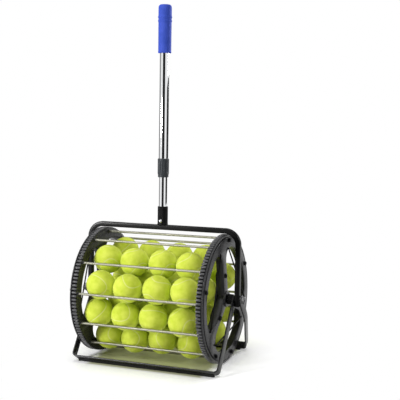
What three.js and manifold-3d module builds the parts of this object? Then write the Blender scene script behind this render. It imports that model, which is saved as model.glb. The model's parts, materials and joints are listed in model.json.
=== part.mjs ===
// Tennis ball roller collector: a drum of steel wires between two ribbed wheels, carried by a bent
// square tube yoke with a telescopic handle, and kept upright by two hinged flat strip stands.
// Millimetres, +Z up, +X to the right along the drum, -Y to the front.
// The origin lies on the floor below the middle of the drum.
import * as THREE from "three";
import { mergeVertices } from "three/addons/utils/BufferGeometryUtils.js";
import Module from "manifold-3d";

const wasm = await Module();
wasm.setup();

// Fits shared by all pieces
const fit_gap = 0.3; // between two faces that rest on each other
const running_gap = 0.1; // between an axle bolt and what turns on it
const overrun = 1; // how far a cutter runs past the face that it cuts
const weld_distance = 1e-4; // vertices nearer than this are one vertex

// Drum and wheels
const drum_length = 324; // over the outer faces of the two ribbed rings
const wheel_radius = 148;
const wheel_width = 16;
const drum_turn = 5.8; // degrees that the drum has rolled forward
const rim_depth = 26; // from the tread to the wheel's windows
const rib_count = 112;
const rib_height = 3;
const rib_crown_share = 0.42; // of the pitch of two ribs
const rib_foot_share = 0.62;
const flange_width = 3; // smooth edge beside the ribs
const groove_inset = 5; // from the tread to the groove between ribbed ring and spoked disc
const groove_width = 2.5;
const groove_depth = 3;
const disc_rise = 1; // the spoked disc stands this far proud of the ribbed ring
const spoke_count = 3;
const spoke_width = 22;
const spoke_flare_radius = 28; // blends a spoke into the rim
const window_corner_radius = 9; // blends two spokes at the hub
const spoke_pocket_depth = 10; // moulded hollow behind each spoke
const spoke_pocket_wall = 3;
const spoke_pocket_start_share = 0.574; // of the way from the axle to the windows' outer edge
const spoke_pocket_end_share = 0.869;
const hub_radius = 18;
const hub_height = 2.5; // above the spokes' faces

// Wires of the drum
const wire_count = 12;
const wire_radius = 2.75;
const wire_inset = 10; // from the tread to the circle of the wires' middles
const wire_socket_depth = 10; // of the blind holes in the wheels that hold the wires' ends

// Guard rods across the wheels' windows
const guard_radius = 1.6;
const guard_inset = 5; // from the windows' outer edge to a rod's end
const guard_end_turn = 11.81; // degrees round the axle, from a spoke's middle to a rod's end
const guard_bend_radius = 1.9;
const guard_tail = 7; // how deep a bent end sits in the spoke

// Hub spider behind each wheel, with its screws and bearing sleeve
const spider_thickness = 3;
const spider_arm_width = 20;
const spider_arm_tip = 9; // from a screw's middle to the end of its arm
const sleeve_wall = 3.4;
const screw_circle_share = 0.459; // of the way from the axle to the windows' outer edge
const screw_radius = 2.4;
const screw_head_radius = 5.5;
const screw_head_height = 4;

// Axle bolts and what they clamp
const axle_radius = 5;
const bolt_head_radius = 8.6; // over the corners of the hexagon
const bolt_head_height = 5;
const spacer_radius = 12;
const spacer_flute_count = 16;
const spacer_flute_depth = 0.9;
const washer_radius = 10.5;
const washer_thickness = 1.5;
const nut_radius = 9.2;
const nut_height = 6.5;
const nut_chamfer = 1.2;
const bolt_tip_length = 1.5; // thread that shows past the nut

// Yoke of square tube
const tube_side = 12;
const tube_wall = 1.5;
const tube_corner_radius = 2;
const leg_clearance = 21; // from a wheel's outer face to the yoke's leg
const bar_clearance = 2; // from the wheels' tread to the yoke's bar
const yoke_bend_radius = 32;
const yoke_leg_end = 14; // the legs run this far below the axle
const yoke_lean = 5.5; // degrees that the handle leans back
const cap_plate = 1.6;
const cap_spigot = 5;

// Stands of flat strip
const wheel_lift = 2; // the stands hold the wheels this far off the floor
const strip_width = 20;
const strip_thickness = 3.5;
const strip_bend_radius = 9;
const front_stand_angle = 38; // degrees, forward of straight down
const rear_stand_angle = 34; // degrees, back from straight down
const rear_stand_straight = 60; // below the axle, the rear legs run inwards
const rear_foot_outset = 14; // from a wheel's outer face to a rear leg's lower end
const foot_rise = 3; // thinnest part of the rubber foot below the strip
const foot_width = 8; // of the strip's width that the foot covers
const foot_end_gap = 14; // from the foot's end to the outside of the strip's bend

// Handle, measured along it from the middle of the yoke's bar
const stub_radius = 8;
const stub_wall = 1.5;
const stub_end = 40;
const lower_tube_radius = 9.5;
const lower_tube_wall = 1.2;
const lower_tube_start = 9;
const lower_tube_length = 387;
const socket_radius = 12;
const socket_end = 49;
const socket_edge = 1.2;
const socket_foot_radius = 12.6;
const socket_foot_height = 2.4;
const socket_bolt_place = 15;
const socket_bolt_radius = 2.5;
const socket_bolt_head_radius = 4;
const socket_bolt_head_height = 2.4;
const socket_nut_radius = 4.6;
const collar_start = 117;
const collar_length = 43.5;
const collar_radius = 13.2;
const collar_neck_radius = 12.3;
const collar_neck_length = 7;
const collar_edge = 1.2;
const collar_flute_count = 14;
const collar_flute_radius = 1.2;
const collar_flute_inset = 5; // from the collar's upper end to the flutes
const clamp_inset = 4; // from the collar's lower end to the clamp ring
const clamp_length = 9;
const clamp_slit = 2;
const upper_tube_radius = 11;
const upper_tube_wall = 0.9;
const upper_tube_gap = 2; // from the clamp ring to the upper tube
const upper_tube_length = 367;
const grip_length = 110.5;
const grip_top_thickness = 15;
const grip_radius = 15.3;
const grip_ring_radius = 16.2;
const grip_top_radius = 9.3;
const grip_edge = 1.6;
const grip_ring_shares = [0.645, 0.724]; // places of the raised rings, from the lower end

// Facets
const wheel_sides = 36;
const round_sides = 24;
const small_sides = 8;
const wire_sides = 8;
const rod_sides = 6;
const bend_steps = 5;
const arc_steps = 5;

const radians = THREE.MathUtils.degToRad;

// Worked out from the sizes above
const axle_height = wheel_radius + wheel_lift;
const half_drum = drum_length / 2;
const rim_inner_radius = wheel_radius - rim_depth;
const wheel_inner_face = half_drum - wheel_width;
const groove_outer_radius = wheel_radius - groove_inset;
const groove_inner_radius = groove_outer_radius - groove_width;
const spoke_face = half_drum + disc_rise;
const hub_face = spoke_face + hub_height;
const wire_circle_radius = wheel_radius - wire_inset;
const wire_socket_floor = wheel_inner_face + wire_socket_depth;
const spoke_pocket_start = spoke_pocket_start_share * rim_inner_radius;
const spoke_pocket_end = spoke_pocket_end_share * rim_inner_radius;
const screw_circle_radius = screw_circle_share * rim_inner_radius;
const spider_arm_reach = screw_circle_radius + spider_arm_tip;
const guard_reach = rim_inner_radius - guard_inset; // from the axle to a rod's end
const guard_end_angle = radians(guard_end_turn);
const guard_distance = guard_reach * Math.cos(Math.PI / spoke_count - guard_end_angle);
const leg_inner_face = half_drum + leg_clearance;
const leg_outer_face = leg_inner_face + tube_side;
const yoke_leg_place = leg_inner_face + tube_side / 2; // from the drum's middle to a leg's
const yoke_bar_height = wheel_radius + bar_clearance + tube_side / 2; // from axle to bar
const front_strip_place = leg_inner_face - fit_gap - strip_thickness / 2;
const rear_strip_place = leg_outer_face + fit_gap + strip_thickness / 2;
const rear_foot_place = half_drum + rear_foot_outset;
const spacer_start = hub_face + 2 * fit_gap;
const spacer_end = front_strip_place - strip_thickness / 2 - fit_gap;
const washer_start = rear_strip_place + strip_thickness / 2 + fit_gap;
const nut_start = washer_start + washer_thickness + fit_gap;
const bolt_tip = nut_start + nut_height + bolt_tip_length;
const spider_start = wheel_inner_face - fit_gap - spider_thickness;
const bolt_head_start = spider_start - fit_gap - bolt_head_height;
const axle_bore_radius = axle_radius + fit_gap;
const running_bore_radius = axle_radius + running_gap;
const sleeve_radius = running_bore_radius + sleeve_wall;
const bar_top = tube_side / 2; // above the middle of the bar
const lower_tube_end = lower_tube_start + lower_tube_length;
const collar_end = collar_start + collar_length;
const clamp_start = collar_start + clamp_inset;
const upper_tube_start = clamp_start + clamp_length + upper_tube_gap;
const upper_tube_end = upper_tube_start + upper_tube_length;
const grip_end = upper_tube_end + grip_top_thickness;
const grip_start = grip_end - grip_length;

// Finishes, by what they look like
const finish = (color, roughness, metalness) =>
  new THREE.MeshStandardMaterial({ color, roughness, metalness });
const black_plastic = () => finish(0x1b1b1d, 0.55, 0);
const grey_plastic = () => finish(0x55555a, 0.6, 0);
const black_paint = () => finish(0x141414, 0.4, 0.2);
const chrome = () => finish(0xc8cacc, 0.18, 1);
const dull_steel = () => finish(0x9a9a94, 0.35, 1);
const grey_strip = () => finish(0x6c6c70, 0.5, 0.3);
const blue_rubber = () => finish(0x1e4fc4, 0.7, 0);
const black_rubber = () => finish(0x101010, 0.85, 0);

// Makes a closed geometry a solid that can be joined and cut.
function solid(geometry) {
  const bare = geometry.index ? geometry.toNonIndexed() : geometry.clone();
  bare.deleteAttribute("normal");
  bare.deleteAttribute("uv");
  const merged = mergeVertices(bare, weld_distance);
  return new wasm.Manifold(
    new wasm.Mesh({
      numProp: 3,
      vertProperties: merged.attributes.position.array,
      triVerts: new Uint32Array(merged.index.array),
    }),
  );
}

// The faces of a solid as a geometry with flat normals.
function geometryOf(made) {
  const { numProp, vertProperties, triVerts } = made.getMesh();
  const positions = new Float32Array(triVerts.length * numProp);
  triVerts.forEach((vertex, i) =>
    positions.set(vertProperties.subarray(vertex * numProp, (vertex + 1) * numProp), i * numProp),
  );
  const geometry = new THREE.BufferGeometry();
  geometry.setAttribute("position", new THREE.BufferAttribute(positions, numProp));
  geometry.computeVertexNormals();
  return geometry;
}

function piece(name, shape, material) {
  const geometry = shape.isBufferGeometry ? shape : geometryOf(shape);
  const mesh = new THREE.Mesh(geometry, material);
  mesh.name = name;
  return mesh;
}

// A profile of [radius, place] pairs turned round the Z axis.
function turned(profile, sides) {
  const points = profile.map(([radius, place]) => new THREE.Vector2(radius, place));
  const closed = points[0].x > 0 || points.at(-1).x > 0;
  if (THREE.ShapeUtils.isClockWise(points)) points.reverse();
  if (closed) points.push(points[0].clone());
  return new THREE.LatheGeometry(points, sides).rotateX(Math.PI / 2);
}

// The same, round the X axis.
const turnedAlongX = (profile, sides) => turned(profile, sides).rotateY(Math.PI / 2);

// A solid bar from start to end along the Z axis, and the same along the X axis.
const bar = (radius, start, end, sides) =>
  turned([[0, start], [radius, start], [radius, end], [0, end]], sides);
const barAlongX = (radius, start, end, sides) => bar(radius, start, end, sides).rotateY(Math.PI / 2);

// A cutter for a round hole. Its flats, not its corners, lie at the radius.
const holeCutter = (radius, start, end, sides) =>
  bar(radius / Math.cos(Math.PI / sides), start, end, sides);
const holeAlongX = (radius, start, end, sides) =>
  holeCutter(radius, start, end, sides).rotateY(Math.PI / 2);

// A pipe from start to end along the Z axis.
const pipe = (radius, bore, start, end, sides) =>
  turned([[bore, start], [radius, start], [radius, end], [bore, end]], sides);

// A flat outline in Y and Z, given thickness along X from start to end.
const to_side_view = new THREE.Matrix4().makeBasis(
  new THREE.Vector3(0, 1, 0),
  new THREE.Vector3(0, 0, 1),
  new THREE.Vector3(1, 0, 0),
);
function plate(shape, start, end) {
  const geometry = new THREE.ExtrudeGeometry(shape, {
    depth: end - start,
    bevelEnabled: false,
    curveSegments: arc_steps,
  });
  return geometry.applyMatrix4(to_side_view).translate(start, 0, 0);
}

const polar = (radius, angle) =>
  new THREE.Vector2(radius * Math.cos(angle), radius * Math.sin(angle));

// Points of an arc, both ends included.
function arcPoints(centre, radius, from, to, steps) {
  return Array.from({ length: steps + 1 }, (_, i) =>
    polar(radius, from + ((to - from) * i) / steps).add(centre),
  );
}

// Stations along a bent centre line in X and Z: straight runs joined by arcs of one radius.
function bentLine(corners, radius) {
  const points = corners.map(([x, z]) => new THREE.Vector2(x, z));
  const heading = (a, b) => Math.atan2(b.y - a.y, b.x - a.x);
  const stations = [{ at: points[0], heading: heading(points[0], points[1]) }];
  for (let i = 1; i < points.length - 1; i++) {
    const before = heading(points[i - 1], points[i]);
    const after = heading(points[i], points[i + 1]);
    const turn = Math.atan2(Math.sin(after - before), Math.cos(after - before));
    const run_in = radius * Math.tan(Math.abs(turn) / 2);
    const start = points[i].clone().sub(polar(run_in, before));
    const side = (Math.sign(turn) * Math.PI) / 2;
    const centre = start.clone().add(polar(radius, before + side));
    for (let k = 0; k <= bend_steps; k++) {
      const now = before + (turn * k) / bend_steps;
      stations.push({ at: centre.clone().sub(polar(radius, now + side)), heading: now });
    }
  }
  stations.push({ at: points.at(-1), heading: heading(points.at(-2), points.at(-1)) });
  return stations;
}

// A section of [in the plane of the bend, across it] points carried along the stations.
function swept(outline, bore, stations) {
  const rings = bore ? [outline, [...bore].reverse()] : [outline];
  const section = rings.flat();
  const vertices = stations.flatMap(({ at, heading }) =>
    section.map(
      ([inward, across]) =>
        new THREE.Vector3(
          at.x - inward * Math.sin(heading),
          -across,
          at.y + inward * Math.cos(heading),
        ),
    ),
  );
  const index = [];
  for (let s = 0; s < stations.length - 1; s++) {
    let first = s * section.length;
    for (const ring of rings) {
      ring.forEach((_, i) => {
        const a = first + i;
        const b = first + ((i + 1) % ring.length);
        const c = a + section.length;
        const d = b + section.length;
        index.push(a, b, d, a, d, c);
      });
      first += ring.length;
    }
  }
  const asVectors = (ring) => ring.map(([u, v]) => new THREE.Vector2(u, v));
  const faces = THREE.ShapeUtils.triangulateShape(
    asVectors(outline),
    bore ? [asVectors(rings[1])] : [],
  );
  const last = (stations.length - 1) * section.length;
  for (const [a, b, c] of faces) index.push(a, c, b, last + a, last + b, last + c);
  return new THREE.BufferGeometry().setFromPoints(vertices).setIndex(index);
}

// Sections for the bent pieces, anticlockwise
function rectangleSection(thickness, width) {
  const a = thickness / 2;
  const b = width / 2;
  return [[-a, -b], [a, -b], [a, b], [-a, b]];
}

function roundSection(radius, sides) {
  return Array.from({ length: sides }, (_, i) =>
    polar(radius, (2 * Math.PI * i) / sides).toArray(),
  );
}

function roundedSquareSection(side, corner_radius) {
  const inner = side / 2 - corner_radius;
  return [0, 1, 2, 3].flatMap((quarter) => {
    const from = (quarter * Math.PI) / 2;
    const centre = polar(inner * Math.SQRT2, from + Math.PI / 4);
    return arcPoints(centre, corner_radius, from, from + Math.PI / 2, 2).map((p) => p.toArray());
  });
}

// Angles of the spokes and wires in the drum's own frame, from +Y towards +Z
const spoke_angles = Array.from(
  { length: spoke_count },
  (_, i) => Math.PI / 2 + (2 * Math.PI * i) / spoke_count,
);
const wire_angles = Array.from(
  { length: wire_count },
  (_, i) => Math.PI / 2 + (2 * Math.PI * (i + 1 / 2)) / wire_count,
);

// The crowns of the ribs, and with their feet the tread's whole outline: one trapezium a rib.
function ribOutline(with_feet) {
  const pitch = (2 * Math.PI) / rib_count;
  const root = wheel_radius - rib_height;
  return Array.from({ length: rib_count }, (_, i) => {
    const corner = (radius, share) => polar(radius, (i + share / 2) * pitch);
    const crown = [
      corner(wheel_radius, -rib_crown_share),
      corner(wheel_radius, rib_crown_share),
    ];
    if (!with_feet) return crown;
    return [corner(root, -rib_foot_share), ...crown, corner(root, rib_foot_share)];
  }).flat();
}

// One window between two spokes. The first spoke lies at the angle given.
function windowOutline(spoke_angle) {
  const half_width = spoke_width / 2;
  const half_window = Math.PI / spoke_count;
  const flare = spoke_flare_radius;
  const flare_ring = rim_inner_radius - flare;
  const flare_side = half_width + flare;
  const flare_along = Math.sqrt(flare_ring ** 2 - flare_side ** 2);
  const flare_centre = new THREE.Vector2(flare_along, flare_side);
  const flare_end = Math.atan2(flare_side, flare_along);
  const corner_side = half_width + window_corner_radius;
  const corner_centre = polar(corner_side / Math.sin(half_window), half_window);
  const first_half = [
    ...arcPoints(corner_centre, window_corner_radius, half_window - Math.PI, -Math.PI / 2, 3),
    ...arcPoints(flare_centre, flare, -Math.PI / 2, flare_end, arc_steps),
    ...arcPoints(new THREE.Vector2(), rim_inner_radius, flare_end, half_window, arc_steps).slice(1),
  ];
  const mirrored = (p) => polar(p.length(), 2 * half_window - p.angle());
  const second_half = first_half.slice(1, -1).reverse().map(mirrored);
  const origin = new THREE.Vector2();
  return [...first_half, ...second_half].map((p) => p.clone().rotateAround(origin, spoke_angle));
}

function wheelSolid() {
  const disc = (with_feet, start, end) => {
    const outline = new THREE.Shape(ribOutline(with_feet));
    outline.holes = spoke_angles.map((angle) => new THREE.Path(windowOutline(angle)));
    return solid(plate(outline, start, end));
  };
  const flange_start = half_drum - flange_width;
  const groove_floor = half_drum - groove_depth;
  const face_cut = [
    [hub_radius, spoke_face],
    [groove_inner_radius, spoke_face],
    [groove_inner_radius, groove_floor],
    [groove_outer_radius, groove_floor],
    [groove_outer_radius, half_drum],
    [wheel_radius + overrun, half_drum],
    [wheel_radius + overrun, hub_face + overrun],
    [hub_radius, hub_face + overrun],
  ];
  let wheel = disc(true, wheel_inner_face, flange_start)
    .add(disc(false, flange_start, hub_face))
    .subtract(solid(turnedAlongX(face_cut, wheel_sides)));
  for (const cut of wheelHoles()) wheel = wheel.subtract(solid(cut));
  return wheel;
}

// Everything that is drilled or moulded into a wheel from its two faces.
function wheelHoles() {
  const from = wheel_inner_face - overrun;
  const to = hub_face + overrun;
  const hole = (radius, circle, angle, start, end, sides) => {
    const at = polar(circle, angle);
    return holeAlongX(radius, start, end, sides).translate(0, at.x, at.y);
  };
  const bore = holeAlongX(sleeve_radius + fit_gap, from, to, round_sides);
  const wires = wire_angles.map((angle) =>
    hole(wire_radius + fit_gap, wire_circle_radius, angle, from, wire_socket_floor, wire_sides),
  );
  const screws = spoke_angles.map((angle) =>
    hole(screw_radius + fit_gap, screw_circle_radius, angle, from, to, small_sides),
  );
  const guard_holes = spoke_angles.flatMap((angle) =>
    [guard_end_angle, -guard_end_angle].map((side) =>
      hole(
        guard_radius + fit_gap,
        guard_reach,
        angle + side,
        spoke_face - guard_tail,
        to,
        rod_sides,
      ),
    ),
  );
  const pockets = spoke_angles.map((angle) => spokePocket().rotateX(angle));
  return [bore, ...wires, ...screws, ...guard_holes, ...pockets];
}

// The hollow behind one spoke, drawn for a spoke along +Y.
function spokePocket() {
  const half = spoke_width / 2 - spoke_pocket_wall;
  const shape = new THREE.Shape([
    new THREE.Vector2(spoke_pocket_start, -half),
    new THREE.Vector2(spoke_pocket_end, -half),
    new THREE.Vector2(spoke_pocket_end, half),
    new THREE.Vector2(spoke_pocket_start, half),
  ]);
  return plate(shape, wheel_inner_face - overrun, wheel_inner_face + spoke_pocket_depth);
}

// A wire with its two ends pressed into the wheels' blind holes.
function wireShape() {
  const end = wire_socket_floor - fit_gap;
  return barAlongX(wire_radius, -end, end, wire_sides);
}

// A thin rod with both ends bent into the spokes' flared ends, drawn upright beside the X axis.
function guardShape() {
  const half = Math.sqrt(guard_reach ** 2 - guard_distance ** 2);
  const face = spoke_face + fit_gap + guard_radius;
  const tip = spoke_face - guard_tail + fit_gap;
  const corners = [[tip, half], [face, half], [face, -half], [tip, -half]];
  return swept(roundSection(guard_radius, rod_sides), null, bentLine(corners, guard_bend_radius));
}

// Three arms behind the spokes, with the sleeve that runs through the wheel's hub.
function spiderSolid() {
  const half = spider_arm_width / 2;
  const arm = new THREE.Shape();
  arm.moveTo(0, -half);
  arm.lineTo(spider_arm_reach - half, -half);
  arm.absarc(spider_arm_reach - half, 0, half, -Math.PI / 2, Math.PI / 2, false);
  arm.lineTo(0, half);
  const plate_end = spider_start + spider_thickness;
  const disc = barAlongX(hub_radius - fit_gap, spider_start, plate_end, round_sides);
  const sleeve = barAlongX(sleeve_radius, spider_start, hub_face, round_sides);
  let spider = solid(disc).add(solid(sleeve));
  for (const angle of spoke_angles) {
    spider = spider.add(solid(plate(arm, spider_start, plate_end).rotateX(angle)));
  }
  for (const angle of spoke_angles) {
    const at = polar(screw_circle_radius, angle);
    const hole = holeAlongX(
      screw_radius + fit_gap,
      spider_start - overrun,
      plate_end + overrun,
      small_sides,
    );
    spider = spider.subtract(solid(hole.translate(0, at.x, at.y)));
  }
  const bore = holeAlongX(
    running_bore_radius,
    spider_start - overrun,
    hub_face + overrun,
    round_sides,
  );
  return spider.subtract(solid(bore));
}

// A round-headed screw through a spoke and the spider behind it.
function screwShape() {
  const under_head = spoke_face + fit_gap;
  const profile = [
    [0, spider_start],
    [screw_radius, spider_start],
    [screw_radius, under_head],
    [screw_head_radius, under_head],
    [screw_head_radius, under_head + screw_head_height / 2],
    [screw_head_radius / Math.SQRT2, under_head + screw_head_height],
    [0, under_head + screw_head_height],
  ];
  return turnedAlongX(profile, small_sides);
}

// The drum's parts in its own frame: the axle is the X axis, and one spoke points up.
function drumParts() {
  const drum = new THREE.Group();
  for (const [side, turn] of [["right", 0], ["left", Math.PI]]) {
    const end = new THREE.Group();
    end.rotation.z = turn;
    end.add(piece(side + "_wheel", wheelSolid(), grey_plastic()));
    end.add(piece(side + "_hub_spider", spiderSolid(), black_plastic()));
    spoke_angles.forEach((angle, i) => {
      const screw = piece(side + "_hub_screw_" + (i + 1), screwShape(), black_plastic());
      const at = polar(screw_circle_radius, angle);
      screw.position.set(0, at.x, at.y);
      const guard = piece(side + "_guard_rod_" + (i + 1), guardShape(), black_paint());
      guard.geometry.translate(0, guard_distance, 0);
      guard.rotation.x = angle + Math.PI / spoke_count;
      end.add(screw, guard);
    });
    drum.add(end);
  }
  wire_angles.forEach((angle, i) => {
    const wire = piece("wire_" + String(i + 1).padStart(2, "0"), wireShape(), dull_steel());
    const at = polar(wire_circle_radius, angle);
    wire.position.set(0, at.x, at.y);
    drum.add(wire);
  });
  drum.rotation.x = radians(drum_turn);
  return drum;
}

// The yoke: one square tube bent twice, with the handle's stub welded on its bar.
function yokeSolid() {
  const corners = [
    [-yoke_leg_place, -yoke_leg_end],
    [-yoke_leg_place, yoke_bar_height],
    [yoke_leg_place, yoke_bar_height],
    [yoke_leg_place, -yoke_leg_end],
  ];
  const bore_side = tube_side - 2 * tube_wall;
  const tube = swept(
    roundedSquareSection(tube_side, tube_corner_radius),
    rectangleSection(bore_side, bore_side),
    bentLine(corners, yoke_bend_radius),
  );
  const stub_start = bar_top - tube_wall / 2;
  const stub = pipe(stub_radius, stub_radius - stub_wall, stub_start, stub_end, round_sides);
  const on_bar = (geometry) => solid(geometry.translate(0, 0, yoke_bar_height));
  const axle_hole = holeAlongX(
    axle_bore_radius,
    -leg_outer_face - overrun,
    leg_outer_face + overrun,
    small_sides,
  );
  return solid(tube)
    .add(on_bar(stub))
    .subtract(solid(axle_hole))
    .subtract(on_bar(socketBoltHole()));
}

const socketBoltHole = () =>
  holeCutter(socket_bolt_radius + fit_gap, -2 * socket_radius, 2 * socket_radius, small_sides)
    .rotateX(Math.PI / 2)
    .translate(0, 0, socket_bolt_place);

// A plug for the open end of a yoke leg.
function capSolid() {
  const plate_top = -yoke_leg_end - fit_gap;
  const section = roundedSquareSection(tube_side, tube_corner_radius);
  const spigot_side = tube_side - 2 * tube_wall - 2 * fit_gap;
  const upright = (bottom, top) => [
    { at: new THREE.Vector2(0, bottom), heading: Math.PI / 2 },
    { at: new THREE.Vector2(0, top), heading: Math.PI / 2 },
  ];
  return solid(swept(section, null, upright(plate_top - cap_plate, plate_top))).add(
    solid(
      swept(
        rectangleSection(spigot_side, spigot_side),
        null,
        upright(plate_top - cap_plate / 2, plate_top + cap_spigot),
      ),
    ),
  );
}

const hexagon = (radius, start, end) => barAlongX(radius, start, end, 6);

// The axle bolt's hexagon lies inside the drum, and its thread ends past the nut.
function axleBoltSolid() {
  const shank_start = bolt_head_start + bolt_head_height / 2;
  const head = hexagon(bolt_head_radius, bolt_head_start, bolt_head_start + bolt_head_height);
  return solid(head).add(solid(barAlongX(axle_radius, shank_start, bolt_tip, round_sides)));
}

function fluteOutline(radius, count, depth) {
  const pitch = Math.PI / count;
  return Array.from({ length: 2 * count }, (_, i) =>
    polar(i % 2 ? radius - depth : radius, i * pitch),
  );
}

function spacerSolid() {
  const outline = new THREE.Shape(
    fluteOutline(spacer_radius, spacer_flute_count, spacer_flute_depth),
  );
  const bore = holeAlongX(
    axle_bore_radius,
    spacer_start - overrun,
    spacer_end + overrun,
    small_sides,
  );
  return solid(plate(outline, spacer_start, spacer_end)).subtract(solid(bore));
}

const washerShape = () =>
  pipe(
    washer_radius,
    axle_bore_radius,
    washer_start,
    washer_start + washer_thickness,
    round_sides,
  ).rotateY(Math.PI / 2);

// A hexagon with its corners turned off, as a nut has.
function nutSolid() {
  const nut_end = nut_start + nut_height;
  const turned_blank = [
    [axle_bore_radius, nut_start],
    [nut_radius, nut_start],
    [nut_radius, nut_end - nut_chamfer],
    [nut_radius - nut_chamfer, nut_end],
    [axle_bore_radius, nut_end],
  ];
  return solid(turnedAlongX(turned_blank, round_sides)).intersect(
    solid(hexagon(nut_radius, nut_start - overrun, nut_end + overrun)),
  );
}

// The distance from the axle to the crossbar's centre line that sets its foot on the floor.
function standReach(angle) {
  const lowest_edge = (strip_width / 2) * Math.sin(radians(angle));
  const room = axle_height - foot_rise - lowest_edge;
  return room / Math.cos(radians(angle)) - strip_thickness / 2;
}

// A stand: one flat strip bent into a U, with round ends on the axle bolts.
function standSolid(corners, place) {
  const strip = swept(
    rectangleSection(strip_thickness, strip_width),
    null,
    bentLine(corners, strip_bend_radius),
  );
  let stand = solid(strip);
  for (const side of [-1, 1]) {
    const inner = side * place - strip_thickness / 2;
    const end_disc = barAlongX(strip_width / 2, inner, inner + strip_thickness, round_sides);
    const hole = holeAlongX(
      running_bore_radius,
      inner - overrun,
      inner + strip_thickness + overrun,
      small_sides,
    );
    stand = stand.add(solid(end_disc)).subtract(solid(hole));
  }
  return stand;
}

function frontStandCorners() {
  const reach = standReach(front_stand_angle);
  return [
    [-front_strip_place, 0],
    [-front_strip_place, -reach],
    [front_strip_place, -reach],
    [front_strip_place, 0],
  ];
}

function rearStandCorners() {
  const reach = standReach(rear_stand_angle);
  return [
    [-rear_strip_place, 0],
    [-rear_strip_place, -rear_stand_straight],
    [-rear_foot_place, -reach],
    [rear_foot_place, -reach],
    [rear_strip_place, -rear_stand_straight],
    [rear_strip_place, 0],
  ];
}

// The rubber foot below a stand's lower edge, in the stand's own frame. tilt is the stand's turn
// round the axle, and half_length how far the foot reaches from the middle.
function footShape(tilt, half_length) {
  const lower = Math.sign(tilt);
  const under = -standReach(Math.abs(tilt)) - strip_thickness / 2 - fit_gap;
  const origin = new THREE.Vector2();
  const turn = radians(tilt);
  const edge = new THREE.Vector2((-lower * strip_width) / 2, under);
  const inside = new THREE.Vector2(edge.x + lower * foot_width, under);
  const onFloor = (p) => {
    const upright = p.clone().rotateAround(origin, turn);
    upright.y = -axle_height;
    return upright.rotateAround(origin, -turn);
  };
  const section = new THREE.Shape([edge, inside, onFloor(inside), onFloor(edge)]);
  return plate(section, -half_length, half_length);
}

function standParts(name, tilt, solid_strip, foot_half_length) {
  const stand = new THREE.Group();
  stand.add(piece(name + "_stand", solid_strip, grey_strip()));
  stand.add(piece(name + "_foot", footShape(tilt, foot_half_length), black_rubber()));
  stand.rotation.x = radians(tilt);
  return stand;
}

// Black sleeve round the lower tube's end, on the yoke's bar.
function socketSolid() {
  const bottom = bar_top + fit_gap;
  const bore = lower_tube_radius + fit_gap;
  const profile = [
    [bore, bottom],
    [socket_foot_radius, bottom],
    [socket_foot_radius, bottom + socket_foot_height - socket_edge],
    [socket_radius, bottom + socket_foot_height],
    [socket_radius, socket_end - socket_edge],
    [socket_radius - socket_edge, socket_end],
    [bore, socket_end],
  ];
  return solid(turned(profile, round_sides)).subtract(solid(socketBoltHole()));
}

function lowerTubeSolid() {
  const bore = lower_tube_radius - lower_tube_wall;
  return solid(
    pipe(lower_tube_radius, bore, lower_tube_start, lower_tube_end, round_sides),
  ).subtract(solid(socketBoltHole()));
}

// The bolt that pins socket, tube and stub, drawn along Z and turned to the front.
function socketBoltShape() {
  const seat = socket_radius + fit_gap;
  const head_top = seat + socket_bolt_head_height;
  return turned(
    [
      [0, -seat - socket_bolt_head_height],
      [socket_bolt_radius, -seat - socket_bolt_head_height],
      [socket_bolt_radius, seat],
      [socket_bolt_head_radius, seat],
      [socket_bolt_head_radius, head_top - socket_bolt_head_height / 2],
      [socket_bolt_head_radius / 2, head_top],
      [0, head_top],
    ],
    small_sides,
  )
    .rotateX(Math.PI / 2)
    .translate(0, 0, socket_bolt_place);
}

function socketNutSolid() {
  const seat = socket_radius + fit_gap;
  const nut = bar(socket_nut_radius, seat, seat + socket_bolt_head_height, 6)
    .rotateX(-Math.PI / 2)
    .translate(0, 0, socket_bolt_place);
  return solid(nut).subtract(solid(socketBoltHole()));
}

// The collar that is turned to lock the upper tube on the lower one.
function collarSolid() {
  const tube_bore = upper_tube_radius + fit_gap;
  const rod_bore = lower_tube_radius + fit_gap;
  const shoulder = clamp_start - fit_gap;
  const profile = [
    [rod_bore, collar_start],
    [collar_neck_radius, collar_start],
    [collar_neck_radius, collar_start + collar_neck_length],
    [collar_radius, collar_start + collar_neck_length + collar_edge],
    [collar_radius, collar_end - collar_edge],
    [collar_radius - collar_edge, collar_end],
    [tube_bore, collar_end],
    [tube_bore, shoulder],
    [rod_bore, shoulder],
  ];
  let collar = solid(turned(profile, 2 * collar_flute_count));
  const flute_start = collar_start + collar_neck_length + 2 * collar_edge;
  const flute_end = collar_end - collar_flute_inset;
  for (let i = 0; i < collar_flute_count; i++) {
    const at = polar(collar_radius + collar_flute_radius / 2, (2 * Math.PI * i) / collar_flute_count);
    const flute = bar(collar_flute_radius, flute_start, flute_end, 6).translate(at.x, at.y, 0);
    collar = collar.subtract(solid(flute));
  }
  return collar;
}

// The slit ring inside the collar that grips the lower tube.
function clampSolid() {
  const ring = pipe(
    upper_tube_radius,
    lower_tube_radius + fit_gap,
    clamp_start,
    clamp_start + clamp_length,
    round_sides,
  );
  const slit = new THREE.BoxGeometry(clamp_slit, 2 * upper_tube_radius, 2 * clamp_length);
  slit.translate(0, upper_tube_radius, clamp_start + clamp_length / 2);
  return solid(ring).subtract(solid(slit));
}

const upperTubeShape = () =>
  pipe(
    upper_tube_radius,
    upper_tube_radius - upper_tube_wall,
    upper_tube_start,
    upper_tube_end,
    round_sides,
  );

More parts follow.
